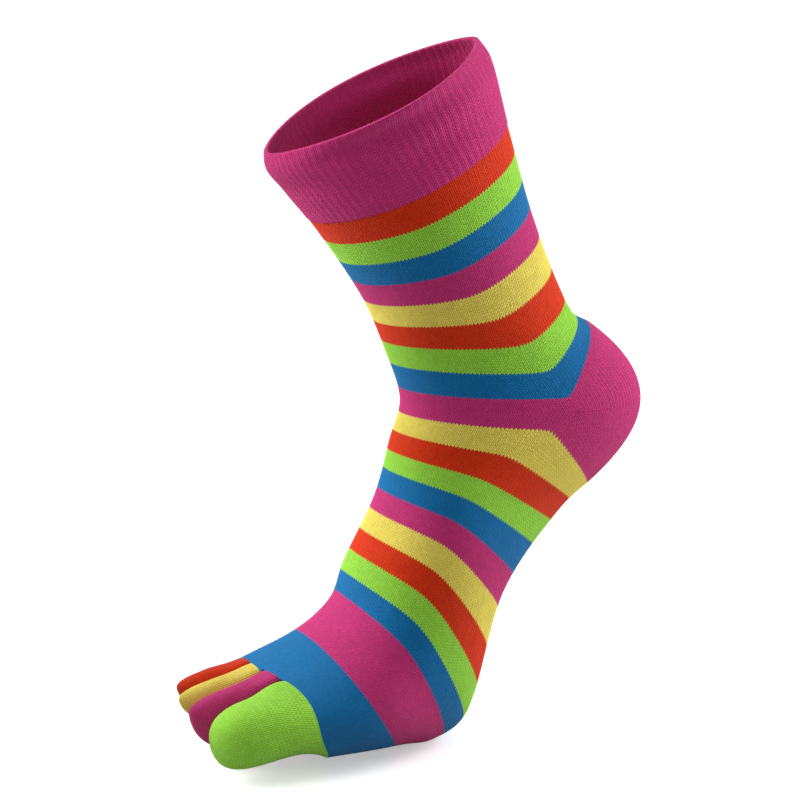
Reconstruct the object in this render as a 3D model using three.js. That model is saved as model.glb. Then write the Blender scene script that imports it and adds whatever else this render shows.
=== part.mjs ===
// Toe sock for a right foot, crew height, in the form that it takes when worn on tiptoe.
// Millimetres, +Z up, toes towards -X, the big toe's side towards -Y.
// The origin is the middle of the opening, at the top of the cuff.

import * as THREE from 'three';

// Driving sizes: the leg
const legLength = 128.2;      // ankle crease to rim, up the front
const legLean = 28.4;         // degrees, forwards from upright
const legDepth = 97;          // front to back at the cuff's seam
const legWidth = 81;          // side to side at the cuff's seam
const cuffHeight = 33.4;      // rim to seam, down the front

// Driving sizes: the foot
const footLength = 134.3;     // ankle crease to toe line, down the instep
const footPitch = 28.6;       // degrees, the instep forwards from straight down
const footDepth = 80;         // instep to sole at the arch
const footWidth = 90;         // across the ball

// Driving sizes: the ankle and the heel
const ankleDepth = 110.2;     // ankle crease to the back of the ankle loop
const ankleDrop = 7.8;        // how far the loop's back lies below the crease
const ankleWidth = 60;
const heelRise = 42.1;        // heel's upper gore line above the ankle loop, at the back
const heelFall = 38;          // heel's lower gore line below it
const heelCorner = 108;       // degrees round the ankle from the front, where the gore lines meet
const heelOver = 1.71;        // how full the heel is above its point: 1 is a shallow patch, 2 a deep cup
const heelUnder = 1.69;       // and below it
const heelRoundness = 2.4;    // of the back of the ankle loop, 2 being an ellipse

// Driving sizes: the toes
const toeReach = 34.2;        // tip of the big toe ahead of the toe line
const bigToeSetBack = 4.5;    // the toe line runs this much further back over the big toe

// Driving sizes: the knit
const knitWall = 1.6;
const heelWall = 2;           // the heel is spliced with a second yarn
const weltWall = 1.9;         // the cuff is knitted double
const seamGap = 0.3;

// Yarns
const yarn = {
  magenta: new THREE.MeshStandardMaterial({ color: 0xc2397c, roughness: 0.9, metalness: 0 }),
  orange: new THREE.MeshStandardMaterial({ color: 0xd6330c, roughness: 0.9, metalness: 0 }),
  lime: new THREE.MeshStandardMaterial({ color: 0x8fce3c, roughness: 0.9, metalness: 0 }),
  blue: new THREE.MeshStandardMaterial({ color: 0x1670a8, roughness: 0.9, metalness: 0 }),
  yellow: new THREE.MeshStandardMaterial({ color: 0xdcc85c, roughness: 0.9, metalness: 0 }),
};

// Stripes of the leg, from the ankle up. courses: how tall each is, in stripe heights.
const legStripes = [
  { colour: 'magenta', courses: 0.5 },
  { colour: 'blue', courses: 1 },
  { colour: 'lime', courses: 1 },
  { colour: 'orange', courses: 1 },
  { colour: 'yellow', courses: 1 },
  { colour: 'magenta', courses: 1 },
  { colour: 'blue', courses: 1 },
  { colour: 'lime', courses: 1 },
  { colour: 'orange', courses: 1 },
];

// Stripes of the foot, from the ankle down. The last two are wide ones.
const footStripes = [
  { colour: 'magenta', courses: 0.5 },
  { colour: 'yellow', courses: 1 },
  { colour: 'orange', courses: 1 },
  { colour: 'lime', courses: 1 },
  { colour: 'blue', courses: 1 },
  { colour: 'magenta', courses: 1 },
  { colour: 'yellow', courses: 1 },
  { colour: 'orange', courses: 1 },
  { colour: 'lime', courses: 1 },
  { colour: 'blue', courses: 1 },
  { colour: 'magenta', courses: 2.35 },
  { colour: 'blue', courses: 2.35 },
];

// Loops of the leg above the ankle.
// at: share of the leg's courses. along, rise: shares of legLength, rise being how far the loop's
// back lies above its front. front, depth: shares of legDepth. halfWidth: share of legWidth.
// lift: share of heelRise that the back is pulled up by. bendFrom: share of the depth where that starts.
// frontRound, backRound: roundness of the two halves, 2 being an ellipse and more being squarer.
// pinch: how pointed the loop's front and back are, 1 being a lens.
const legLoops = [
  { at: 0.18, along: 0.18, front: 0.047, depth: 0.846, rise: -0.384, halfWidth: 0.37, lift: 0.544,
    bendFrom: 0.627, frontRound: 2, backRound: 2.25, pinch: 0 },
  { at: 0.42, along: 0.393, front: 0.071, depth: 0.853, rise: -0.222, halfWidth: 0.442, lift: 0.423,
    bendFrom: 0.405, frontRound: 2, backRound: 2.1, pinch: 0 },
  { at: 0.74, along: 0.718, front: 0.025, depth: 0.993, rise: -0.105, halfWidth: 0.517, lift: 0.204,
    bendFrom: 0.325, frontRound: 2, backRound: 2, pinch: 0 },
  { at: 0.9, along: 0.928, front: -0.035, depth: 1.123, rise: -0.044, halfWidth: 0.498, lift: 0,
    bendFrom: 0.467, frontRound: 2, backRound: 2, pinch: 0.12 },
  { at: 1, along: 1, front: -0.015, depth: 1.097, rise: -0.037, halfWidth: 0.519, lift: 0,
    bendFrom: 0.5, frontRound: 2, backRound: 2, pinch: 0.45 },
];

// Loops of the foot below the ankle, with the same columns in footLength, footDepth, footWidth and
// heelFall, rise and lift being downwards.
const footLoops = [
  { at: 0.16, along: 0.139, front: 0.058, depth: 1.074, rise: -0.171, halfWidth: 0.321, lift: 0.484,
    bendFrom: 0.4, frontRound: 2, backRound: 2.3, pinch: 0 },
  { at: 0.36, along: 0.332, front: 0.147, depth: 0.88, rise: -0.076, halfWidth: 0.39, lift: 0.636,
    bendFrom: 0.309, frontRound: 2, backRound: 2.15, pinch: 0 },
  { at: 0.58, along: 0.566, front: 0.161, depth: 0.981, rise: 0.042, halfWidth: 0.44, lift: 0.869,
    bendFrom: 0.294, frontRound: 2, backRound: 2.2, pinch: 0 },
  { at: 0.7, along: 0.689, front: 0.204, depth: 0.8, rise: 0.151, halfWidth: 0.464, lift: 0.502,
    bendFrom: 0.309, frontRound: 2, backRound: 2.3, pinch: 0 },
  { at: 0.83, along: 0.826, front: 0.139, depth: 0.64, rise: 0.214, halfWidth: 0.503, lift: 0,
    bendFrom: 0.5, frontRound: 2.1, backRound: 2.4, pinch: 0 },
  { at: 1, along: 1, front: -0.046, depth: 0.416, rise: 0.156, halfWidth: 0.5, lift: 0,
    bendFrom: 0.5, frontRound: 2.5, backRound: 3, pinch: 0 },
];

// Soft dents of the cuff. round: degrees from the front. at: share of the leg's courses.
// spread: degrees. tall: share of the courses. deep: share of legDepth, outwards where negative.
const cuffFolds = [
  { round: 76, at: 0.915, spread: 32, tall: 0.035, deep: 0.026 },
  { round: 84, at: 0.82, spread: 26, tall: 0.028, deep: 0.021 },
  { round: 118, at: 0.88, spread: 24, tall: 0.03, deep: -0.014 },
  { round: 250, at: 0.89, spread: 36, tall: 0.04, deep: 0.018 },
  { round: 300, at: 0.82, spread: 30, tall: 0.03, deep: 0.015 },
  { round: 15, at: 0.85, spread: 26, tall: 0.03, deep: 0.01 },
];

// Toe pockets, from the big toe's side. edge: where each ends across the foot, share of footWidth.
// reach: share of toeReach. The rest are levels above the toe line's underside, shares of the toe
// line's height: top that of the upper line, tip the nose, arch the sole behind the pad, pad the sole.
const toes = [
  { name: 'big_toe', colour: 'lime', edge: -0.161, reach: 1,
    top: 1, tip: 0.47, arch: 0.42, pad: -0.35 },
  { name: 'second_toe', colour: 'magenta', edge: 0.017, reach: 1.05,
    top: 0.94, tip: 0.62, arch: 0.1, pad: -0.12 },
  { name: 'third_toe', colour: 'yellow', edge: 0.183, reach: 1.04,
    top: 0.94, tip: 0.66, arch: 0.1, pad: 0.25 },
  { name: 'fourth_toe', colour: 'orange', edge: 0.339, reach: 0.93,
    top: 0.95, tip: 0.68, arch: 0.1, pad: 0.28 },
  { name: 'little_toe', colour: 'blue', edge: 0.5, reach: 0.68,
    top: 0.8, tip: 0.56, arch: 0.1, pad: 0.2 },
];

// Where the guide points of a toe's lines lie. ahead: share of its reach past the toe line's top.
// height: share of its top level.
const toeTopGuides = [
  { ahead: 0.41, height: 0.95 },
  { ahead: 1, height: 0.86 },
];
const toeArchAhead = 0.1;
const toePadAhead = 0.9;

// Where the toe line is set back. round: degrees from the front. spread: degrees.
const setBack = { round: 45, spread: 38 };
const toeRootRoundness = 6;
const toeRoundness = 2.3;
const toeBlend = 0.4;         // share of the toe's length over which the root's outline turns round
const toeTaper = 0.07;        // share of its width that a toe loses along its length

// Facets. Bands are in stripe heights, the last column of the heel in facets.
const legBand = 0.6;
const footBand = 0.8;
const heelTipColumn = 0.2;
const facetsDownCuff = 6;
const facetsRound = 40;
const facetsRoundToe = 24;
const facetsAlongToe = 8;
const facetsDownHeel = 8;
const bendSoftness = 0.18;    // how gently the loops turn towards the heel, away from the gore lines
const probe = 0.001;

const radians = THREE.MathUtils.degToRad;
const mix = THREE.MathUtils.lerp;

// The sock is laid out from its ankle crease, in the plane that halves it: x backwards, y upwards.
const legUp = new THREE.Vector2(-Math.sin(radians(legLean)), Math.cos(radians(legLean)));
const legBack = new THREE.Vector2(legUp.y, -legUp.x);
const footDown = new THREE.Vector2(-Math.sin(radians(footPitch)), -Math.cos(radians(footPitch)));
const footBack = new THREE.Vector2(-footDown.y, footDown.x);
const cornerShare = (1 - Math.cos(radians(heelCorner))) / 2;

function ankleLoop() {
  return {
    at: 0, halfWidth: ankleWidth / 2, lift: 1, bendFrom: cornerShare,
    frontRound: 2, backRound: heelRoundness, pinch: 0,
    front: new THREE.Vector2(0, 0),
    back: new THREE.Vector2(Math.sqrt(ankleDepth ** 2 - ankleDrop ** 2), -ankleDrop),
  };
}

function sizedLoop(row, size) {
  const front = new THREE.Vector2()
    .addScaledVector(size.along, row.along * size.length)
    .addScaledVector(size.across, row.front * size.depth);
  const back = front.clone()
    .addScaledVector(size.across, row.depth * size.depth)
    .addScaledVector(size.along, row.rise * size.length);
  return {
    at: row.at, front, back, halfWidth: row.halfWidth * size.width, lift: row.lift, bendFrom: row.bendFrom,
    frontRound: row.frontRound, backRound: row.backRound, pinch: row.pinch,
  };
}

const legSize = { along: legUp, across: legBack, length: legLength, depth: legDepth, width: legWidth };
const footSize = { along: footDown, across: footBack, length: footLength, depth: footDepth, width: footWidth };
const leg = {
  loops: [ankleLoop(), ...legLoops.map((row) => sizedLoop(row, legSize))],
  length: legLength, liftAlong: legUp, liftBy: heelRise, folds: cuffFolds, foldDepth: legDepth,
};
const foot = {
  loops: [ankleLoop(), ...footLoops.map((row) => sizedLoop(row, footSize))],
  length: footLength, liftAlong: footDown, liftBy: heelFall, folds: [], foldDepth: 0,
};

// A loop as plain numbers, so that the loops between the table's rows can be worked out.
function numbersOf(loop) {
  return [loop.front.x, loop.front.y, loop.halfWidth, loop.back.x, loop.back.y,
    loop.lift, loop.bendFrom, loop.frontRound, loop.backRound, loop.pinch];
}

function loopFrom(at, n) {
  return {
    at, front: new THREE.Vector2(n[0], n[1]), halfWidth: n[2], back: new THREE.Vector2(n[3], n[4]),
    lift: n[5], bendFrom: n[6], frontRound: n[7], backRound: n[8], pinch: n[9],
  };
}

// The slope of each column at each row, per unit of at.
function slopesOf(tube) {
  const rows = tube.loops.map(numbersOf);
  return rows.map((row, i) => {
    const before = Math.max(i - 1, 0);
    const after = Math.min(i + 1, rows.length - 1);
    const span = tube.loops[after].at - tube.loops[before].at;
    return row.map((_, k) => (rows[after][k] - rows[before][k]) / span);
  });
}

leg.slopes = slopesOf(leg);
foot.slopes = slopesOf(foot);

// The front line and the width run smoothly through the ankle, from the foot into the leg.
const smoothColumns = 3;
const ankleSpan = leg.loops[1].at * leg.length + foot.loops[1].at * foot.length;
for (let k = 0; k < smoothColumns; k += 1) {
  const change = numbersOf(leg.loops[1])[k] - numbersOf(foot.loops[1])[k];
  leg.slopes[0][k] = (change / ankleSpan) * leg.length;
  foot.slopes[0][k] = (-change / ankleSpan) * foot.length;
}

// The loop at any share of a tube's courses, by a cubic between the two rows beside it.
function loopAt(tube, at) {
  let i = 0;
  while (i < tube.loops.length - 2 && at > tube.loops[i + 1].at) i += 1;
  const step = tube.loops[i + 1].at - tube.loops[i].at;
  const t = (at - tube.loops[i].at) / step;
  const from = numbersOf(tube.loops[i]);
  const to = numbersOf(tube.loops[i + 1]);
  return loopFrom(at, from.map((start, k) => {
    const end = to[k];
    const leave = tube.slopes[i][k] * step;
    const arrive = tube.slopes[i + 1][k] * step;
    return start + leave * t + (3 * (end - start) - 2 * leave - arrive) * t ** 2
      + (2 * (start - end) + leave + arrive) * t ** 3;
  }));
}

function foldDepthAt(tube, at, degrees) {
  return tube.folds.reduce((sum, fold) => {
    const turn = Math.abs(((degrees - fold.round + 540) % 360) - 180) / fold.spread;
    const climb = (at - fold.at) / fold.tall;
    return sum + fold.deep * tube.foldDepth * Math.exp(-(turn ** 2) - climb ** 2);
  }, 0);
}

// How much of its lift a loop has at a share t of its depth.
function liftShare(loop, t, softness) {
  const run = (t - loop.bendFrom) / (1 - loop.bendFrom);
  return (run + Math.hypot(run, softness)) / (1 + Math.hypot(1, softness));
}

// A squared circle: 2 is round, more is squarer. Its points stay evenly spread.
function squared(c, s, roundness) {
  const scale = (Math.abs(c) ** roundness + Math.abs(s) ** roundness) ** (-1 / roundness);
  return [c * scale, s * scale];
}

// A point of a tube's wall. degrees: round the loop from the front, over the big toe's side.
// inset: how far inside the outer face.
function tubePoint(tube, at, degrees, inset) {
  const loop = loopAt(tube, at);
  const inward = inset + foldDepthAt(tube, at, degrees);
  const c = Math.cos(radians(degrees));
  const s = Math.sin(radians(degrees));
  const [depthWise, sideWise] = squared(c, s, c < 0 ? loop.backRound : loop.frontRound);
  const t = (1 - depthWise) / 2;
  const span = loop.back.clone().sub(loop.front);
  const whole = span.length();
  const softness = bendSoftness * Math.min(at / tube.loops[1].at, 1);
  const place = loop.front.clone()
    .addScaledVector(span, (inward + t * (whole - 2 * inward)) / whole)
    .addScaledVector(tube.liftAlong, loop.lift * tube.liftBy * liftShare(loop, t, softness));
  const pinched = sideWise * (1 - loop.pinch * (1 - Math.abs(sideWise)));
  return new THREE.Vector3(place.x, -(loop.halfWidth - inward) * pinched, place.y);
}

function around(count, from = 0, to = 360) {
  return Array.from({ length: count }, (_, j) => from + ((to - from) * j) / count);
}

// Shares of a tube's courses where its stripes start and end, each stripe cut into bands.
function stripeBands(stripes, from, to, bandHeight) {
  const total = stripes.reduce((sum, stripe) => sum + stripe.courses, 0);
  const bands = [];
  let done = 0;
  for (const stripe of stripes) {
    const cuts = Math.max(1, Math.round(stripe.courses / bandHeight));
    for (let i = 0; i < cuts; i += 1) {
      const start = mix(from, to, (done + (stripe.courses * i) / cuts) / total);
      const end = mix(from, to, (done + (stripe.courses * (i + 1)) / cuts) / total);
      bands.push({ start, end, colour: stripe.colour });
    }
    done += stripe.courses;
  }
  return bands;
}

// A wall between an outer and an inner grid of points, closed along its edges.
// round: each row is a ring, and a last row of a single point closes the tip.
function wallGeometry(outer, inner, { round = false, colours = null } = {}) {
  const faces = new Map();
  const triangle = (colour, a, b, c) => {
    if (!faces.has(colour)) faces.set(colour, []);
    faces.get(colour).push(a, b, c);
  };
  const quad = (colour, a, b, c, d) => {
    if (b !== c) triangle(colour, a, b, c);
    if (a !== d) triangle(colour, a, c, d);
  };
  const pick = (row, j) => (row.length === 1 ? row[0] : row[j % row.length]);
  const rows = outer.length;
  const columns = round ? outer[0].length : outer[0].length - 1;
  const colourOf = (i) => (colours ? colours[Math.min(i, colours.length - 1)] : 0);
  for (let i = 0; i < rows - 1; i += 1) {
    for (let j = 0; j < columns; j += 1) {
      const corners = (grid) => [
        pick(grid[i], j), pick(grid[i + 1], j), pick(grid[i + 1], j + 1), pick(grid[i], j + 1),
      ];
      quad(colourOf(i), ...corners(outer));
      const [a, b, c, d] = corners(inner);
      quad(colourOf(i), d, c, b, a);
    }
  }
  const last = rows - 1;
  for (let j = 0; j < columns; j += 1) {
    quad(colourOf(0), pick(outer[0], j), pick(outer[0], j + 1), pick(inner[0], j + 1), pick(inner[0], j));
    if (outer[last].length > 1) {
      const [a, b] = [pick(inner[last], j), pick(inner[last], j + 1)];
      quad(colourOf(last), a, b, pick(outer[last], j + 1), pick(outer[last], j));
    }
  }
  if (!round) {
    for (let i = 0; i < last; i += 1) {
      quad(colourOf(i), outer[i + 1][0], outer[i][0], inner[i][0], inner[i + 1][0]);
      quad(colourOf(i), outer[i][columns], outer[i + 1][columns], inner[i + 1][columns], inner[i][columns]);
    }
  }
  const geometry = new THREE.BufferGeometry();
  const points = [...faces.values()].flat();
  geometry.setFromPoints(points);
  let start = 0;
  [...faces.keys()].forEach((colour, slot) => {
    geometry.addGroup(start, faces.get(colour).length, slot);
    start += faces.get(colour).length;
  });
  geometry.computeVertexNormals();
  return { geometry, slots: [...faces.keys()] };
}

function knitMesh(name, built, colour) {
  const materials = built.slots.map((slot) => yarn[slot] ?? yarn[colour]);
  const mesh = new THREE.Mesh(built.geometry, materials.length === 1 ? materials[0] : materials);
  mesh.name = name;
  return mesh;
}

// A stretch of tube through the given shares of its courses, first row at the top.
// warp: moves a share of the courses at some angles.
function tubeMesh(name, tube, shares, wall, colours, warp = (at) => at) {
  const angles = around(facetsRound);
  const grid = (inset) => shares.map(
    (at) => angles.map((degrees) => tubePoint(tube, warp(at, degrees), degrees, inset)),
  );
  return knitMesh(name, wallGeometry(grid(0), grid(wall), { round: true, colours }));
}

const seamAt = 1 - cuffHeight / legLength;
const legTrim = seamGap / 2 / legLength;
const footTrim = seamGap / 2 / footLength;

function makeCuff() {
  const shares = around(facetsDownCuff, 1, seamAt + legTrim).concat(seamAt + legTrim);
  return tubeMesh('cuff', leg, shares, weltWall, Array(facetsDownCuff).fill('magenta'));
}

function makeLeg() {
  const bands = stripeBands(legStripes, legTrim, seamAt - legTrim, legBand).reverse();
  const shares = [...bands.map((band) => band.end), legTrim];
  return tubeMesh('leg', leg, shares, knitWall, bands.map((band) => band.colour));
}

// The foot's last stripe and its edge draw back over the big toe.
const footBands = stripeBands(footStripes, footTrim, 1 - footTrim, footBand);
const lastStripeAt = footBands.findLast((band) => band.colour !== footStripes.at(-1).colour).end;

function setBackShare(at, degrees) {
  const run = Math.max(0, (at - lastStripeAt) / (1 - lastStripeAt));
  const turn = (degrees - setBack.round) / setBack.spread;
  return at - run * (bigToeSetBack / footLength) * Math.exp(-(turn ** 2));
}

function makeFoot() {
  const shares = [footTrim, ...footBands.map((band) => band.end)];
  const colours = footBands.map((band) => band.colour);
  return tubeMesh('foot', foot, shares, knitWall, colours, setBackShare);
}

// The heel: a lens between the leg's lower edge and the foot's upper edge, bulging out behind them.
function heelPoint(degrees, share, inset) {
  const top = tubePoint(leg, 0, degrees, inset);
  const bottom = tubePoint(foot, 0, degrees, inset);
  const chord = top.distanceTo(bottom);
  const leave = top.clone().sub(tubePoint(leg, probe, degrees, inset)).setLength(chord * heelOver);
  const arrive = tubePoint(foot, probe, degrees, inset).sub(bottom).setLength(chord * heelUnder);
  const t = mix(seamGap / 2 / (chord * heelOver), 1 - seamGap / 2 / (chord * heelUnder), share);
  return new THREE.Vector3()
    .addScaledVector(top, 1 - 3 * t ** 2 + 2 * t ** 3)
    .addScaledVector(leave, t - 2 * t ** 2 + t ** 3)
    .addScaledVector(bottom, 3 * t ** 2 - 2 * t ** 3)
    .addScaledVector(arrive, t ** 3 - t ** 2);
}

function makeHeel() {
  const step = 360 / facetsRound;
  const first = heelCorner + step * heelTipColumn;
  const columns = [first];
  for (let degrees = heelCorner + step; degrees < 360 - heelCorner - step / 2; degrees += step) {
    columns.push(degrees);
  }
  columns.push(360 - first);
  const shares = [...around(facetsDownHeel, 0, 1), 1];
  const grid = (inset) => shares.map((share) => columns.map((degrees) => heelPoint(degrees, share, inset)));
  return knitMesh('heel_pocket', wallGeometry(grid(0), grid(heelWall)), 'magenta');
}

// The toe line is the foot's last loop. Across it, the toe pockets stand side by side.
const toeLine = loopAt(foot, 1);
const toeHeight = toeLine.front.y - toeLine.back.y;

// The point of the toe line over or under a place y across the foot.
function toeLinePoint(y, upper, inset, ahead) {
  const roundness = upper ? toeLine.frontRound : toeLine.backRound;
  const sideWise = Math.min(Math.abs(y) / (toeLine.halfWidth - inset), 1);
  const turn = THREE.MathUtils.radToDeg(Math.atan2(sideWise, (1 - sideWise ** roundness) ** (1 / roundness)));
  const half = upper ? turn : 180 - turn;
  const degrees = y < 0 ? half : 360 - half;
  return tubePoint(foot, setBackShare(1, degrees) + ahead, degrees, inset);
}

function bezier(points, t) {
  const [a, b, c, d] = points;
  const r = 1 - t;
  return new THREE.Vector2()
    .addScaledVector(a, r ** 3).addScaledVector(b, 3 * r ** 2 * t)
    .addScaledVector(c, 3 * r * t ** 2).addScaledVector(d, t ** 3);
}

// The line over a toe and the line under it, from the toe line to the nose.
function toeLines(toe, share, inset) {
  const middle = (toe.low + toe.high) / 2;
  const base = toeLine.back.y;
  const tip = new THREE.Vector2(toeLine.front.x - toe.reach + inset, base + toe.tip * toeHeight);
  const start = (upper) => {
    const point = toeLinePoint(middle, upper, inset, toe.trim);
    return new THREE.Vector2(point.x, point.z);
  };
  const guide = (ahead, level, lift) => new THREE.Vector2(
    mix(toeLine.front.x, tip.x, ahead),
    base + level * toeHeight + lift,
  );
  const topGuides = toeTopGuides.map((row) => guide(row.ahead, row.height * toe.top, -inset));
  const soleGuides = [guide(toeArchAhead, toe.arch, inset), guide(toePadAhead, toe.pad, inset)];
  return {
    top: bezier([start(true), ...topGuides, tip], share),
    sole: bezier([start(false), ...soleGuides, tip], share),
  };
}

// The toe as if it were as round at its root as further on. c, s: the turn round it.
function toeBody(toe, share, c, s, inset) {
  const { top, sole } = toeLines(toe, share, inset);
  const [side, height] = squared(c, s, toeRoundness);
  const halfWidth = (toe.high - toe.low) / 2 - inset;
  const nose = Math.sin(Math.min((1 - share) / (1 - toeBlend), 1) * Math.PI / 2);
  return new THREE.Vector3(
    mix(sole.x, top.x, (1 + height) / 2),
    (toe.low + toe.high) / 2 + halfWidth * side * nose * (1 - toeTaper * share),
    mix(sole.y, top.y, (1 + height) / 2),
  );
}

// Its root: straight towards a neighbour, the toe line's own curve at the outside.
function toeRoot(toe, c, s, inset) {
  const outside = c < 0 ? toe.outerLow : toe.outerHigh;
  const lineRoundness = s < 0 ? toeLine.backRound : toeLine.frontRound;
  const [side, height] = squared(c, s, outside ? lineRoundness : toeRootRoundness);
  const y = (toe.low + toe.high) / 2 + side * ((toe.high - toe.low) / 2 - inset);
  const over = toeLinePoint(y, true, inset, toe.trim);
  const under = toeLinePoint(y, false, inset, toe.trim);
  if (outside) return s > 0 ? over : under;
  return under.lerp(over, (1 + height) / 2);
}

function toePoint(toe, share, degrees, inset) {
  const c = Math.cos(radians(degrees));
  const s = Math.sin(radians(degrees));
  const rootShare = 1 - THREE.MathUtils.smoothstep(share, 0, toeBlend);
  const offset = toeRoot(toe, c, s, inset).sub(toeBody(toe, 0, c, s, inset));
  return toeBody(toe, share, c, s, inset).addScaledVector(offset, rootShare);
}

function makeToes() {
  let low = -toeLine.halfWidth;
  return toes.map((row, i) => {
    const last = i === toes.length - 1;
    const high = last ? toeLine.halfWidth : row.edge * footWidth;
    const toe = {
      ...row,
      low: low + (i === 0 ? 0 : seamGap / 2), high: high - (last ? 0 : seamGap / 2),
      outerLow: i === 0, outerHigh: last, reach: row.reach * toeReach, trim: 2 * footTrim,
    };
    low = high;
    const angles = around(facetsRoundToe);
    const shares = around(facetsAlongToe, 0, 1);
    const grid = (inset) => [
      ...shares.map((share) => angles.map((degrees) => toePoint(toe, share, degrees, inset))),
      [toePoint(toe, 1, 0, inset)],
    ];
    return knitMesh(row.name, wallGeometry(grid(0), grid(knitWall), { round: true }), row.colour);
  });
}

const rim = loopAt(leg, 1);
const sock = new THREE.Group();
sock.add(makeCuff(), makeLeg(), makeHeel(), makeFoot(), ...makeToes());
sock.position.set(-(rim.front.x + rim.back.x) / 2, 0, -(rim.front.y + rim.back.y) / 2);

const group = new THREE.Group();
group.add(sock);

export default group;
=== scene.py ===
import math
import bmesh
import bpy
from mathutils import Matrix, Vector


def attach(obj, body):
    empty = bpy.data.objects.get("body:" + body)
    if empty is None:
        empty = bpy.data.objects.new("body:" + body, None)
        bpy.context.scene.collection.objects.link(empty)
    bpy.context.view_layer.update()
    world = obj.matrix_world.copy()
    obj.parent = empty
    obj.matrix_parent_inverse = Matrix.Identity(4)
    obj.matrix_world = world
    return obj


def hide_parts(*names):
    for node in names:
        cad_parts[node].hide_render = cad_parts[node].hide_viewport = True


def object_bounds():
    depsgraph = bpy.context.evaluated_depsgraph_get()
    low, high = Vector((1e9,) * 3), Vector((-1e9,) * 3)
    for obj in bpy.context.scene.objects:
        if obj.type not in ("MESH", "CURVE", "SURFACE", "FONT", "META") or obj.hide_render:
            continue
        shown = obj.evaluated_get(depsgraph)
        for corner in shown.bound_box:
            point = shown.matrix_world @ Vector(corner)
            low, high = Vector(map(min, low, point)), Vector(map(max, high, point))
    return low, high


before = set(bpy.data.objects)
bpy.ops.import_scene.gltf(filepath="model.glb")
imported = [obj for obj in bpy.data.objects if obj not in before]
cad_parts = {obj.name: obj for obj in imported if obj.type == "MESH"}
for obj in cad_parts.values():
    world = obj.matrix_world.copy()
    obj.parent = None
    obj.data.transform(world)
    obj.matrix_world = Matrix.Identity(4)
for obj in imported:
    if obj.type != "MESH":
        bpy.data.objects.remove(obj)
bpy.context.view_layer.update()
print("frame loaded")

mm = 0.001

# The sock's own sizes in mm, and its angles in degrees. It is laid out from the ankle crease,
# in the plane that halves it: x backwards, z upwards.
sock = {
    "legLength": 128.2, "legLean": 28.4, "legDepth": 97, "legWidth": 81, "cuffHeight": 33.4,
    "footLength": 134.3, "footPitch": 28.6, "footDepth": 80, "footWidth": 90,
    "ankleDepth": 110.2, "ankleDrop": 7.8, "ankleWidth": 60,
    "heelRise": 42.1, "heelFall": 38, "heelCorner": 108,
    "heelOver": 1.71, "heelUnder": 1.69, "heelRoundness": 2.4,
    "toeReach": 34.2, "bigToeSetBack": 4.5, "setBackRound": 45, "setBackSpread": 38,
    "bendSoftness": 0.18,
}

# at: share of the courses. along, rise: shares of the leg's length. front, depth: shares of its depth.
# half: share of its width. lift: share of the heel's rise. bend: share of the depth where that starts.
# frontRound, backRound: the roundness of the two halves, 2 being an ellipse.
# pinch: how pointed its ends are.
legRows = [  # at, along, front, depth, rise, half, lift, bend, frontRound, backRound, pinch
    (0.18, 0.18, 0.047, 0.846, -0.384, 0.37, 0.544, 0.627, 2, 2.25, 0),
    (0.42, 0.393, 0.071, 0.853, -0.222, 0.442, 0.423, 0.405, 2, 2.1, 0),
    (0.74, 0.718, 0.025, 0.993, -0.105, 0.517, 0.204, 0.325, 2, 2, 0),
    (0.9, 0.928, -0.035, 1.123, -0.044, 0.498, 0, 0.467, 2, 2, 0.12),
    (1, 1, -0.015, 1.097, -0.037, 0.519, 0, 0.5, 2, 2, 0.45),
]
footRows = [  # the same downwards
    (0.16, 0.139, 0.058, 1.074, -0.171, 0.321, 0.484, 0.4, 2, 2.3, 0),
    (0.36, 0.332, 0.147, 0.88, -0.076, 0.39, 0.636, 0.309, 2, 2.15, 0),
    (0.58, 0.566, 0.161, 0.981, 0.042, 0.44, 0.869, 0.294, 2, 2.2, 0),
    (0.7, 0.689, 0.204, 0.8, 0.151, 0.464, 0.502, 0.309, 2, 2.3, 0),
    (0.83, 0.826, 0.139, 0.64, 0.214, 0.503, 0, 0.5, 2.1, 2.4, 0),
    (1, 1, -0.046, 0.416, 0.156, 0.5, 0, 0.5, 2.5, 3, 0),
]

knit = {
    "wales": 160,            # columns of stitches round the leg
    "ridge": 0.09,           # how far each column stands proud
    "courses": 10,           # rows of stitches in a stripe
    "slant": 0.85,           # how far a stitch's two legs rise, in rows
    "wall": 1.6, "heelWall": 2.0,
    "legRows": 74, "footRows": 96,
    "sharpFrom": 55,         # degrees between faces that shade as an edge
}

yarns = {  # sRGB
    "magenta": (0.81, 0.20, 0.48),
    "orange": (0.89, 0.21, 0.01),
    "lime": (0.61, 0.88, 0.27),
    "blue": (0.02, 0.455, 0.70),
    "yellow": (0.96, 0.88, 0.38),
}

legStripes = [  # from the ankle up, in stripes
    ("magenta", 0.5), ("blue", 1), ("lime", 1), ("orange", 1), ("yellow", 1),
    ("magenta", 1), ("blue", 1), ("lime", 1), ("orange", 1),
]
footStripes = [  # from the ankle down
    ("magenta", 0.5), ("yellow", 1), ("orange", 1), ("lime", 1), ("blue", 1), ("magenta", 1),
    ("yellow", 1), ("orange", 1), ("lime", 1), ("blue", 1), ("magenta", 2.35), ("blue", 2.35),
]


def unit(degrees):
    return math.cos(math.radians(degrees)), math.sin(math.radians(degrees))


leanC, leanS = unit(sock["legLean"])
pitchC, pitchS = unit(sock["footPitch"])
legUp, legBack = (-leanS, leanC), (leanC, leanS)
footDown, footBack = (-pitchS, -pitchC), (pitchC, -pitchS)
cornerShare = (1 - unit(sock["heelCorner"])[0]) / 2


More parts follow.
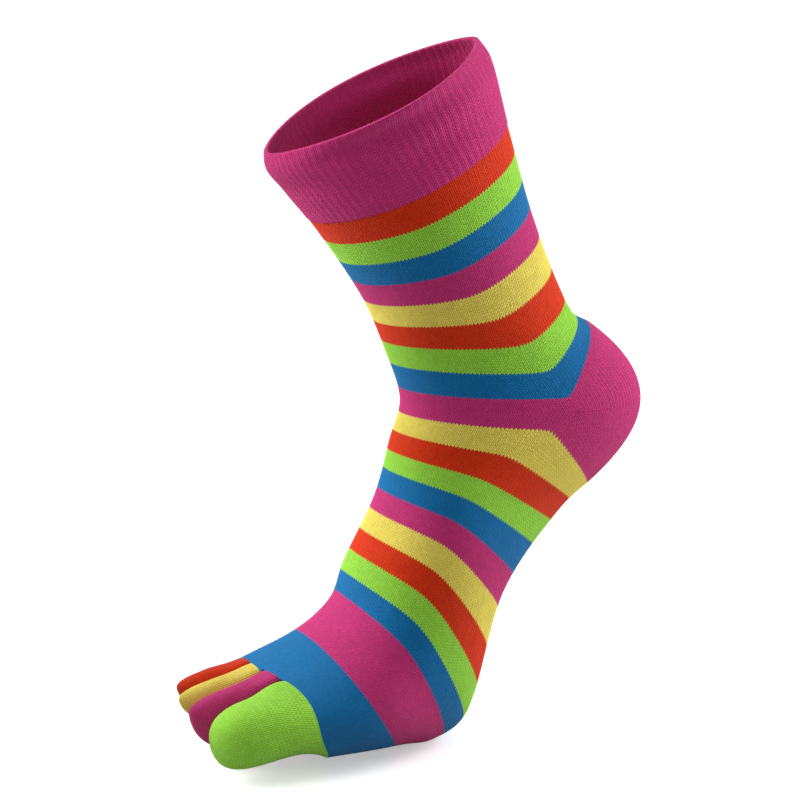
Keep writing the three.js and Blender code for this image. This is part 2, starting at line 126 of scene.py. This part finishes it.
def sizedRow(row, along, across, length, depth, width):
    at, run, front, deep, rise, half, lift, bend, frontRound, backRound, pinch = row
    fx = along[0] * run * length + across[0] * front * depth
    fz = along[1] * run * length + across[1] * front * depth
    bx = fx + across[0] * deep * depth + along[0] * rise * length
    bz = fz + across[1] * deep * depth + along[1] * rise * length
    return at, [fx, fz, half * width, bx, bz, lift, bend, frontRound, backRound, pinch]


ankleBack = math.sqrt(sock["ankleDepth"] ** 2 - sock["ankleDrop"] ** 2)
ankleRow = (0, [0, 0, sock["ankleWidth"] / 2, ankleBack, -sock["ankleDrop"], 1, cornerShare,
                2, sock["heelRoundness"], 0])


def makeTube(rows, along, liftBy, length, folds):
    slopes = []
    for i in range(len(rows)):
        before, after = rows[max(i - 1, 0)], rows[min(i + 1, len(rows) - 1)]
        span = after[0] - before[0]
        slopes.append([(b - a) / span for a, b in zip(before[1], after[1])])
    return {"rows": rows, "slopes": slopes, "along": along, "liftBy": liftBy,
            "length": length, "folds": folds, "memo": {}}


cuffFolds = [  # degrees round, share of the courses, spread in degrees, height as a share, mm deep
    (76, 0.915, 32, 0.035, 2.52), (84, 0.82, 26, 0.028, 2.04), (118, 0.88, 24, 0.03, -1.36),
    (250, 0.89, 36, 0.04, 1.75), (300, 0.82, 30, 0.03, 1.46), (15, 0.85, 26, 0.03, 0.97),
]

legSizes = (legUp, legBack, sock["legLength"], sock["legDepth"], sock["legWidth"])
footSizes = (footDown, footBack, sock["footLength"], sock["footDepth"], sock["footWidth"])
leg = makeTube([ankleRow] + [sizedRow(r, *legSizes) for r in legRows],
               legUp, sock["heelRise"], sock["legLength"], cuffFolds)
foot = makeTube([ankleRow] + [sizedRow(r, *footSizes) for r in footRows],
                footDown, sock["heelFall"], sock["footLength"], [])

# The front line and the width run smoothly through the ankle.
ankleSpan = leg["rows"][1][0] * leg["length"] + foot["rows"][1][0] * foot["length"]
for k in range(3):
    change = leg["rows"][1][1][k] - foot["rows"][1][1][k]
    leg["slopes"][0][k] = change / ankleSpan * leg["length"]
    foot["slopes"][0][k] = -change / ankleSpan * foot["length"]


def loopAt(tube, at):
    key = round(at, 7)
    if key not in tube["memo"]:
        rows = tube["rows"]
        i = 0
        while i < len(rows) - 2 and at > rows[i + 1][0]:
            i += 1
        step = rows[i + 1][0] - rows[i][0]
        t = (at - rows[i][0]) / step
        loop = []
        for k, (a, b) in enumerate(zip(rows[i][1], rows[i + 1][1])):
            leave, arrive = tube["slopes"][i][k] * step, tube["slopes"][i + 1][k] * step
            loop.append(a + leave * t + (3 * (b - a) - 2 * leave - arrive) * t ** 2
                        + (2 * (a - b) + leave + arrive) * t ** 3)
        tube["memo"][key] = loop
    return tube["memo"][key]


def foldDepth(tube, at, degrees):
    depth = 0
    for around, level, spread, tall, deep in tube["folds"]:
        turn = abs((degrees - around + 540) % 360 - 180) / spread
        climb = (at - level) / tall
        depth += deep * math.exp(-turn ** 2 - climb ** 2)
    return depth


# A squared circle: 2 is round, more is squarer. Its points stay evenly spread.
def squared(c, s, roundness):
    scale = (abs(c) ** roundness + abs(s) ** roundness) ** (-1 / roundness)
    return c * scale, s * scale


# A point of a tube's wall, in mm. degrees run round the loop from the front, over the big toe's side.
def tubePoint(tube, at, degrees, inset=0):
    fx, fz, half, bx, bz, lift, bend, frontRound, backRound, pinch = loopAt(tube, at)
    inward = inset + foldDepth(tube, at, degrees)
    c, s = unit(degrees)
    c, s = squared(c, s, backRound if c < 0 else frontRound)
    t = (1 - c) / 2
    whole = math.hypot(bx - fx, bz - fz)
    softness = sock["bendSoftness"] * min(at / tube["rows"][1][0], 1)
    run = (t - bend) / (1 - bend)
    eased = (run + math.hypot(run, softness)) / (1 + math.hypot(1, softness))
    raised = lift * tube["liftBy"] * eased
    share = (inward + t * (whole - 2 * inward)) / whole
    return Vector((
        fx + (bx - fx) * share + tube["along"][0] * raised,
        -(half - inward) * s * (1 - pinch * (1 - abs(s))),
        fz + (bz - fz) * share + tube["along"][1] * raised,
    ))


rim = loopAt(leg, 1)
rimMiddle = Vector(((rim[0] + rim[3]) / 2, 0, (rim[1] + rim[4]) / 2))


def placed(point):
    return (point - rimMiddle) * mm


def ridgeAt(wale):
    return -knit["ridge"] * math.cos(2 * math.pi * wale)


def linear(colour):
    return [c / 12.92 if c <= 0.04045 else ((c + 0.055) / 1.055) ** 2.4 for c in colour]


def calculate(tree, operation, *values):
    node = tree.nodes.new("ShaderNodeMath")
    node.operation = operation
    for socket, value in zip(node.inputs, values):
        if isinstance(value, (int, float)):
            socket.default_value = value
        else:
            tree.links.new(value, socket)
    return node.outputs[0]


def blendColours(tree, factor, a, b, kind="MIX"):
    node = tree.nodes.new("ShaderNodeMix")
    node.data_type = "RGBA"
    node.blend_type = kind
    for socket, value in ((node.inputs["Factor"], factor), (node.inputs[6], a), (node.inputs[7], b)):
        if hasattr(value, "is_linked"):
            tree.links.new(value, socket)
        else:
            socket.default_value = value
    return node.outputs[2]


finish = {
    "roughness": 0.9, "sheen": 0.08, "sheenRoughness": 0.5, "specular": 0.12,
    "paintedGapShade": 0.6,           # painted shade: how much the gaps between stitches are darkened
    "stitchSpread": 0.12,    # how much one stitch differs from the next
    "blotch": 0.16,          # how much one place differs from another
    "lift": 0.22,            # how much the rest is lightened to make up for the painted shade in the gaps
    "patchScale": 55, "patchDetail": 3, "fibreScale": 2600, "fibreDetail": 2,
    "bump": 0.00045, "bumpStrength": 0.8, "fuzz": 0.00006, "fuzzStrength": 0.5,
}
# How a stitch shows on each face of the fabric. across, along: how full its legs are, 0 being flat.
faceStitch = {"slant": knit["slant"], "across": 0.55, "along": 0.45}
backStitch = {"slant": 0.2, "across": 0.25, "along": 0.6}


# Knitted fabric, read from the "knit" map: u counts columns of stitches, v counts rows.
# bands: (row where the colour starts, colour). A stitch keeps one colour, so a stripe's edge is toothed.
# look: how a stitch shows, faceStitch outside and backStitch inside.
def knitFinish(name, bands, rows, look=faceStitch):
    material = bpy.data.materials.new(name)
    material.use_nodes = True
    tree = material.node_tree
    shader = tree.nodes["Principled BSDF"]
    shader.inputs["Roughness"].default_value = finish["roughness"]
    shader.inputs["Sheen Weight"].default_value = finish["sheen"]
    shader.inputs["Sheen Roughness"].default_value = finish["sheenRoughness"]
    shader.inputs["Specular IOR Level"].default_value = finish["specular"]

    knitMap = tree.nodes.new("ShaderNodeUVMap")
    knitMap.uv_map = "knit"
    split = tree.nodes.new("ShaderNodeSeparateXYZ")
    tree.links.new(knitMap.outputs[0], split.inputs[0])
    u, v = split.outputs[0], split.outputs[1]

    # The two legs of a stitch rise away from the middle of its column.
    offMiddle = calculate(tree, "ABSOLUTE", calculate(tree, "SUBTRACT", calculate(tree, "FRACT", u), 0.5))
    slanted = calculate(tree, "SUBTRACT", v, calculate(tree, "MULTIPLY", offMiddle, 2 * look["slant"]))
    row = calculate(tree, "FLOOR", slanted)
    column = calculate(tree, "FLOOR", u)

    across = calculate(tree, "FRACT", calculate(tree, "MULTIPLY", u, 2))
    along = calculate(tree, "FRACT", slanted)

    def hump(x):
        rest = calculate(tree, "SUBTRACT", 1, x)
        return calculate(tree, "MULTIPLY", calculate(tree, "MULTIPLY", x, rest), 4)

    acrossHump = calculate(tree, "POWER", hump(across), look["across"])
    alongHump = calculate(tree, "POWER", hump(along), look["along"])
    height = calculate(tree, "MULTIPLY", acrossHump, alongHump)

    ramp = tree.nodes.new("ShaderNodeValToRGB")
    ramp.color_ramp.interpolation = "CONSTANT"
    stops = ramp.color_ramp.elements
    stops.remove(stops[1])
    for i, (start, colour) in enumerate(bands):
        stop = stops[0] if i == 0 else stops.new(min(max(start / rows, 0), 1))
        stop.color = (*linear(yarns[colour]), 1)
    inRow = calculate(tree, "DIVIDE", calculate(tree, "ADD", row, 0.5), rows)
    tree.links.new(inRow, ramp.inputs[0])

    # One stitch differs a little from the next, and the yarn from one place to another.
    which = tree.nodes.new("ShaderNodeCombineXYZ")
    tree.links.new(column, which.inputs[0])
    tree.links.new(row, which.inputs[1])
    stitch = tree.nodes.new("ShaderNodeTexWhiteNoise")
    stitch.noise_dimensions = "2D"
    tree.links.new(which.outputs[0], stitch.inputs["Vector"])
    place = tree.nodes.new("ShaderNodeTexCoord").outputs["Object"]
    patches = tree.nodes.new("ShaderNodeTexNoise")
    patches.inputs["Scale"].default_value = finish["patchScale"]
    patches.inputs["Detail"].default_value = finish["patchDetail"]
    tree.links.new(place, patches.inputs["Vector"])
    spread = finish["stitchSpread"]
    shade = calculate(tree, "MULTIPLY_ADD", stitch.outputs["Value"], spread, 1 - spread / 2)
    blotch = finish["blotch"]
    shade = calculate(tree, "MULTIPLY", shade,
                      calculate(tree, "MULTIPLY_ADD", patches.outputs[0], blotch, 1 - blotch / 2))
    # Painted shade: the gaps between a stitch's legs are darkened, and the rest lightened a little to make
    # up for it.
    gap = calculate(tree, "MULTIPLY", calculate(tree, "SUBTRACT", 1, height), -finish["paintedGapShade"])
    lightened = calculate(tree, "ADD", gap, 1 + finish["paintedGapShade"] * finish["lift"])
    shade = calculate(tree, "MULTIPLY", shade, lightened)
    grey = tree.nodes.new("ShaderNodeCombineColor")
    for socket in grey.inputs:
        tree.links.new(shade, socket)
    colour = blendColours(tree, 1.0, ramp.outputs[0], grey.outputs[0], "MULTIPLY")
    tree.links.new(colour, shader.inputs["Base Color"])

    fibres = tree.nodes.new("ShaderNodeTexNoise")
    fibres.inputs["Scale"].default_value = finish["fibreScale"]
    fibres.inputs["Detail"].default_value = finish["fibreDetail"]
    tree.links.new(place, fibres.inputs["Vector"])
    lint = tree.nodes.new("ShaderNodeBump")
    lint.inputs["Distance"].default_value = finish["fuzz"]
    lint.inputs["Strength"].default_value = finish["fuzzStrength"]
    tree.links.new(fibres.outputs[0], lint.inputs["Height"])
    relief = tree.nodes.new("ShaderNodeBump")
    relief.inputs["Distance"].default_value = finish["bump"]
    relief.inputs["Strength"].default_value = finish["bumpStrength"]
    tree.links.new(height, relief.inputs["Height"])
    tree.links.new(lint.outputs[0], relief.inputs["Normal"])
    tree.links.new(relief.outputs[0], shader.inputs["Normal"])
    return material


# The rows where a tube's stripes start.
def stripeStarts(stripes):
    starts, done = [], 0
    for colour, tall in stripes:
        starts.append((done * knit["courses"], colour))
        done += tall
    return starts, done * knit["courses"]


# A grid of stitches laid on a surface. columns and rows count its faces. pointAt and mapAt take the
# shares across and up the grid, and mapAt whether the face is in the upper half.
# wall: how thick it is knitted, inwards.
def knitPiece(name, columns, rows, pointAt, mapAt, materials, wall=None):
    bm = bmesh.new()
    uvs = bm.loops.layers.uv.new("knit")
    bmesh.ops.create_grid(bm, x_segments=columns, y_segments=rows, size=0.5)
    for face in bm.faces:
        upper = face.calc_center_median().y > 0
        for loop in face.loops:
            loop[uvs].uv = mapAt(loop.vert.co.x + 0.5, loop.vert.co.y + 0.5, upper)
    for vert in bm.verts:
        vert.co = placed(pointAt(vert.co.x + 0.5, vert.co.y + 0.5))
    bmesh.ops.remove_doubles(bm, verts=bm.verts, dist=1e-6)
    mesh = bpy.data.meshes.new(name)
    bm.to_mesh(mesh)
    bm.free()
    for material in materials:
        mesh.materials.append(material)
    piece = bpy.data.objects.new(name, mesh)
    bpy.context.scene.collection.objects.link(piece)
    if wall:
        thick = piece.modifiers.new("wall", "SOLIDIFY")
        thick.thickness = wall * mm
        thick.offset = -1
        thick.material_offset = len(materials) - 1
        graph = bpy.context.evaluated_depsgraph_get()
        finished = bpy.data.meshes.new_from_object(piece.evaluated_get(graph))
        piece.modifiers.clear()
        piece.data = finished
    for polygon in piece.data.polygons:
        polygon.use_smooth = True
    piece.data.set_sharp_from_angle(angle=math.radians(knit["sharpFrom"]))
    return piece


def shown(piece, slot, *nodes):
    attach(piece, "root")
    if nodes:
        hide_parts(*nodes)
    print(piece.name, len(piece.data.polygons), "faces")
    return piece


seamAt = 1 - sock["cuffHeight"] / sock["legLength"]
legBands, legCourses = stripeStarts(legStripes)
footBands, footCourses = stripeStarts(footStripes)
legKnit = knitFinish("legKnit", legBands, legCourses)
legReverse = knitFinish("legReverse", legBands, legCourses, backStitch)
footKnit = knitFinish("footKnit", footBands, footCourses)
footReverse = knitFinish("footReverse", footBands, footCourses, backStitch)
plain = {name: knitFinish(name + "Knit", [(0, name)], 1) for name in yarns}
reverse = {name: knitFinish(name + "Reverse", [(0, name)], 1, backStitch) for name in yarns}
tubeColumns = 2 * knit["wales"]

cuff = {
    "wall": 1.9, "proud": 0.35, "rib": 0.16, "course": 1.1, "rolled": 7, "rowHeight": 1.3,
    "lip": 0.5, "innerLip": 0.4,   # how far its lower edge is rounded off, outside and inside
    "turn": 0.12,            # and how far the edge starts in from both faces
}


# The welt is knitted double: up the outside, over the rim and down the inside.
def cuffPath():
    half = cuff["wall"] / 2
    tall = sock["cuffHeight"]
    straight = tall - half
    steps = round(straight / cuff["rowHeight"])
    lip, turn = cuff["lip"], cuff["turn"]
    rise = [(lip + (straight - lip) * i / steps, 0) for i in range(steps + 1)]
    over = []
    for i in range(1, cuff["rolled"]):
        c, s = unit(180 * i / cuff["rolled"])
        over.append((straight + half * s, half - half * c))
    fall = [(h, cuff["wall"]) for h, _ in reversed(rise)]
    edge = [(0, cuff["wall"] - cuff["innerLip"]), (0, lip), (turn, turn)]
    return [(turn, turn)] + rise + over + fall + edge


def makeCuff():
    path = cuffPath()
    travelled = [0]
    for (h0, i0), (h1, i1) in zip(path, path[1:]):
        travelled.append(travelled[-1] + math.hypot(h1 - h0, i1 - i0))

    def station(t):
        return round(t * (len(path) - 1))

    def pointAt(s, t):
        height, inset = path[station(t)]
        outside = 1 - 2 * inset / cuff["wall"]
        rib = cuff["rib"] * math.cos(math.pi * s * knit["wales"]) * outside
        at = seamAt + height / sock["legLength"]
        return tubePoint(leg, at, 360 * s, inset - cuff["proud"] * max(outside, 0) - rib)

    def mapAt(s, t, upper):
        return s * knit["wales"], travelled[station(t)] / cuff["course"]

    piece = knitPiece("cuffWelt", tubeColumns, len(path) - 1, pointAt, mapAt, [plain["magenta"]])
    return shown(piece, "magenta_welt", "cuff")


def makeLeg():
    def pointAt(s, t):
        return tubePoint(leg, t * seamAt, 360 * s, ridgeAt(s * knit["wales"]))

    def mapAt(s, t, upper):
        return s * knit["wales"], t * legCourses

    piece = knitPiece("legStripes", tubeColumns, knit["legRows"], pointAt, mapAt,
                      [legKnit, legReverse], knit["wall"])
    return shown(piece, "striped_knit", "leg")


lastStripeAt = footBands[-1][0] / footCourses


# The toe line draws back over the big toe, and the last stripe with it.
def setBack(at, degrees):
    run = max(0, (at - lastStripeAt) / (1 - lastStripeAt))
    turn = (degrees - sock["setBackRound"]) / sock["setBackSpread"]
    return at - run * sock["bigToeSetBack"] / sock["footLength"] * math.exp(-turn ** 2)


def makeFoot():
    def pointAt(s, t):
        return tubePoint(foot, setBack(1 - t, 360 * s), 360 * s, ridgeAt(s * knit["wales"]))

    def mapAt(s, t, upper):
        return s * knit["wales"], (1 - t) * footCourses

    piece = knitPiece("footStripes", tubeColumns, knit["footRows"], pointAt, mapAt,
                      [footKnit, footReverse], knit["wall"])
    return shown(piece, "striped_knit", "foot")


# The heel pocket lies between the leg's lower edge and the foot's upper edge.
def heelPoint(degrees, share, inset=0):
    probe = 0.001
    top, bottom = tubePoint(leg, 0, degrees, inset), tubePoint(foot, 0, degrees, inset)
    chord = (top - bottom).length
    leave = (top - tubePoint(leg, probe, degrees, inset)).normalized() * chord * sock["heelOver"]
    arrive = (tubePoint(foot, probe, degrees, inset) - bottom).normalized() * chord * sock["heelUnder"]
    t = share
    return (top * (1 - 3 * t ** 2 + 2 * t ** 3) + leave * (t - 2 * t ** 2 + t ** 3)
            + bottom * (3 * t ** 2 - 2 * t ** 3) + arrive * (t ** 3 - t ** 2))


# gore: how far the ridge from each corner stands proud. goreReach: the share of the heel it runs across.
heel = {"rows": 52, "course": 1.1, "gore": 0.35, "goreReach": 0.3, "lengthSteps": 12}


def makeHeel():
    start = sock["heelCorner"] / 360
    columns = round((1 - 2 * start) * tubeColumns)
    rows = heel["rows"]
    lengths = {}

    def around(s):
        return round((start + (1 - 2 * start) * s) * tubeColumns) / tubeColumns

    def lengthAt(degrees):
        if degrees not in lengths:
            steps = heel["lengthSteps"]
            points = [heelPoint(degrees, i / steps) for i in range(steps + 1)]
            lengths[degrees] = sum((b - a).length for a, b in zip(points, points[1:]))
        return lengths[degrees]

    # The turned rows make a small ridge that runs back from each corner.
    def goreAt(s, t):
        if abs(t - 0.5) > 0.5 / rows:
            return 0
        return heel["gore"] * max(0, 1 - min(s, 1 - s) / heel["goreReach"])

    def pointAt(s, t):
        return heelPoint(360 * around(s), 1 - t, ridgeAt(around(s) * knit["wales"]) - goreAt(s, t))

    # Rows of stitches run level with both edges of the heel and meet in a mitre between them.
    def mapAt(s, t, upper):
        length = lengthAt(360 * around(s))
        return around(s) * knit["wales"], ((1 - t) * length - (0 if upper else length)) / heel["course"]

    piece = knitPiece("heelPocket", columns, rows, pointAt, mapAt,
                      [plain["magenta"], reverse["magenta"]], knit["heelWall"])
    return shown(piece, "magenta_heel", "heel_pocket")


toeForm = {
    "rootRoundness": 6, "roundness": 2.3, "blend": 0.4, "taper": 0.07, "archAhead": 0.1,
    "topGuides": [(0.41, 0.95), (1, 0.86)], "padAhead": 0.9,
    "gap": 0.1, "course": 1.0,
}
toeRows = [  # name, slot, colour, edge, reach, top, tip, arch, pad, columns of stitches
    ("bigToe", "lime_knit", "lime", -0.161, 1, 1, 0.47, 0.42, -0.35, 52),
    ("secondToe", "magenta_knit", "magenta", 0.017, 1.05, 0.94, 0.62, 0.1, -0.12, 40),
    ("thirdToe", "yellow_knit", "yellow", 0.183, 1.04, 0.94, 0.66, 0.1, 0.25, 38),
    ("fourthToe", "orange_knit", "orange", 0.339, 0.93, 0.95, 0.68, 0.1, 0.28, 36),
    ("littleToe", "blue_knit", "blue", 0.5, 0.68, 0.8, 0.56, 0.1, 0.2, 36),
]
toeNodes = ["big_toe", "second_toe", "third_toe", "fourth_toe", "little_toe"]
toeLine = loopAt(foot, 1)
toeHeight = toeLine[1] - toeLine[4]


def toeLinePoint(y, upper, inset=0):
    roundness = toeLine[7] if upper else toeLine[8]
    side = min(abs(y) / (toeLine[2] - inset), 1)
    turn = math.degrees(math.atan2(side, (1 - side ** roundness) ** (1 / roundness)))
    half = turn if upper else 180 - turn
    degrees = half if y < 0 else 360 - half
    return tubePoint(foot, setBack(1, degrees), degrees, inset)


def bezier(points, t):
    r = 1 - t
    weights = (r ** 3, 3 * r ** 2 * t, 3 * r * t ** 2, t ** 3)
    return [sum(w * p[k] for w, p in zip(weights, points)) for k in (0, 1)]


def smoothShare(value, end):
    x = min(max(value / end, 0), 1)
    return x * x * (3 - 2 * x)


# The line over or under a toe, from the toe line to the nose.
def toeLines(toe, share, inset):
    middle = (toe["low"] + toe["high"]) / 2
    base = toeLine[4]
    tip = (toeLine[0] - toe["reach"] + inset, base + toe["tip"] * toeHeight)

    def guide(ahead, level, lift):
        return toeLine[0] + (tip[0] - toeLine[0]) * ahead, base + level * toeHeight + lift

    over, under = toeLinePoint(middle, True, inset), toeLinePoint(middle, False, inset)
    tops = [(over.x, over.z)] + [guide(a, h * toe["top"], -inset) for a, h in toeForm["topGuides"]] + [tip]
    soles = [(under.x, under.z), guide(toeForm["archAhead"], toe["arch"], inset),
             guide(toeForm["padAhead"], toe["pad"], inset), tip]
    return bezier(tops, share), bezier(soles, share)


# The toe as if it were as round at its root as further on.
def toeBody(toe, share, c, s, inset):
    top, sole = toeLines(toe, share, inset)
    side, height = squared(c, s, toeForm["roundness"])
    halfWidth = (toe["high"] - toe["low"]) / 2 - inset
    nose = math.sin(min((1 - share) / (1 - toeForm["blend"]), 1) * math.pi / 2)
    return Vector((
        (top[0] + sole[0]) / 2 + (top[0] - sole[0]) / 2 * height,
        (toe["low"] + toe["high"]) / 2 + halfWidth * side * nose * (1 - toeForm["taper"] * share),
        (top[1] + sole[1]) / 2 + (top[1] - sole[1]) / 2 * height,
    ))


# Its root: the toe line's own curve at the outside of the foot, straight towards a neighbour.
def toeRoot(toe, c, s, inset):
    outside = toe["outerLow"] if c < 0 else toe["outerHigh"]
    halfWidth = (toe["high"] - toe["low"]) / 2 - inset
    middle = (toe["low"] + toe["high"]) / 2
    if outside:
        side = squared(c, s, toeLine[8] if s < 0 else toeLine[7])[0]
        return toeLinePoint(middle + side * halfWidth, s > 0, inset)
    side, height = squared(c, s, toeForm["rootRoundness"])
    over = toeLinePoint(middle + side * halfWidth, True, inset)
    under = toeLinePoint(middle + side * halfWidth, False, inset)
    return (over + under) / 2 + (over - under) / 2 * height


def toePoint(toe, share, degrees, inset=0):
    c, s = unit(degrees)
    ease = 1 - smoothShare(share, toeForm["blend"])
    body = toeBody(toe, share, c, s, inset)
    if ease == 0:
        return body
    return body + (toeRoot(toe, c, s, inset) - toeBody(toe, 0, c, s, inset)) * ease


def makeToes():
    low = -toeLine[2]
    for i, row in enumerate(toeRows):
        name, slot, colour, edge, reach, top, tip, arch, pad, wales = row
        last = i == len(toeRows) - 1
        high = toeLine[2] if last else edge * sock["footWidth"]
        toe = {
            "low": low + (0 if i == 0 else toeForm["gap"] / 2),
            "high": high - (0 if last else toeForm["gap"] / 2),
            "outerLow": i == 0, "outerHigh": last, "reach": reach * sock["toeReach"],
            "top": top, "tip": tip, "arch": arch, "pad": pad,
        }
        low = high
        courses = round(toe["reach"] / toeForm["course"])

        def pointAt(s, t):
            return toePoint(toe, t, -360 * s, ridgeAt(s * wales) * (1 - t))

        def mapAt(s, t, upper):
            return s * wales, t * courses

        piece = knitPiece(name, 2 * wales, courses, pointAt, mapAt,
                          [plain[colour], reverse[colour]], knit["wall"])
        shown(piece, slot, toeNodes[i])


print("knitting the pieces")
makeCuff()
makeLeg()
makeHeel()
makeFoot()
makeToes()


studio = {
    "floor": 16, "floorColour": (0.93, 0.93, 0.93), "floorRoughness": 0.95, "floorGloss": 0.1,
    "cameraPlace": (-0.4360, -1.0925, 0.1250), "cameraAim": (0.02028, 0, -0.1427),
    "lens": 123.6, "shiftX": -0.0189, "shiftY": 0.020,
    "worldGlow": 0.55, "bounce": 0.45, "floorGlow": 0.4,
    "skylight": 0.45, "skylightAngle": 70, "skylightFrom": (-0.45, 0.3, 1),
}
softboxes = [  # name, place, aim, width, height, power
    ("leftLight", (-0.95, 0.62, 0.25), (0, 0, -0.15), 0.7, 1.2, 20),
    ("rightLight", (1.15, -0.12, 0.2), (0, 0, -0.15), 0.7, 1.2, 17),
]


def makeStudio():
    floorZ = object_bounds()[0][2]
    bm = bmesh.new()
    bmesh.ops.create_grid(bm, x_segments=1, y_segments=1, size=studio["floor"] / 2)
    bmesh.ops.translate(bm, verts=bm.verts, vec=(0, 0, floorZ))
    mesh = bpy.data.meshes.new("floor")
    bm.to_mesh(mesh)
    bm.free()
    floor = bpy.data.objects.new("floor", mesh)
    bpy.context.scene.collection.objects.link(floor)
    paper = bpy.data.materials.new("floorPaper")
    paper.use_nodes = True
    shader = paper.node_tree.nodes["Principled BSDF"]
    shader.inputs["Base Color"].default_value = (*studio["floorColour"], 1)
    shader.inputs["Roughness"].default_value = studio["floorRoughness"]
    shader.inputs["Specular IOR Level"].default_value = studio["floorGloss"]
    # The paper shows white, and throws only a little of that back up at the sock.
    tree = paper.node_tree
    seen = tree.nodes.new("ShaderNodeLightPath").outputs["Is Camera Ray"]
    dim = [c * studio["bounce"] for c in studio["floorColour"]]
    tone = blendColours(tree, seen, (*dim, 1), (*studio["floorColour"], 1))
    tree.links.new(tone, shader.inputs["Base Color"])
    shader.inputs["Emission Color"].default_value = (1, 1, 1, 1)
    glow = calculate(tree, "MULTIPLY", seen, studio["floorGlow"])
    tree.links.new(glow, shader.inputs["Emission Strength"])
    mesh.materials.append(paper)

    for name, place, aim, width, height, power in softboxes:
        lamp = bpy.data.lights.new(name, "AREA")
        lamp.shape = "RECTANGLE"
        lamp.size, lamp.size_y, lamp.energy = width, height, power
        holder = bpy.data.objects.new(name, lamp)
        bpy.context.scene.collection.objects.link(holder)
        holder.location = place
        holder.rotation_euler = (Vector(aim) - Vector(place)).to_track_quat("-Z", "Y").to_euler()

    sky = bpy.data.lights.new("skylight", "SUN")
    sky.energy, sky.angle = studio["skylight"], math.radians(studio["skylightAngle"])
    holder = bpy.data.objects.new("skylight", sky)
    bpy.context.scene.collection.objects.link(holder)
    holder.rotation_euler = (-Vector(studio["skylightFrom"])).to_track_quat("-Z", "Y").to_euler()

    world = bpy.data.worlds.new("studioGlow")
    world.use_nodes = True
    tree = world.node_tree
    seen = tree.nodes.new("ShaderNodeLightPath").outputs["Is Camera Ray"]
    glow = calculate(tree, "MULTIPLY_ADD", seen, 1 - studio["worldGlow"], studio["worldGlow"])
    tree.nodes["Background"].inputs[0].default_value = (1, 1, 1, 1)
    tree.links.new(glow, tree.nodes["Background"].inputs[1])
    bpy.context.scene.world = world
    bpy.context.scene.view_settings.view_transform = "Standard"


def makeCamera():
    lens = bpy.data.cameras.new("camera")
    lens.lens, lens.sensor_width = studio["lens"], 36
    lens.shift_x, lens.shift_y = studio["shiftX"], studio["shiftY"]
    lens.clip_end = 50
    holder = bpy.data.objects.new("camera", lens)
    bpy.context.scene.collection.objects.link(holder)
    place, aim = Vector(studio["cameraPlace"]), Vector(studio["cameraAim"])
    holder.location = place
    holder.rotation_euler = (aim - place).to_track_quat("-Z", "Y").to_euler()
    bpy.context.scene.camera = holder


print("setting up the studio")
makeStudio()
makeCamera()
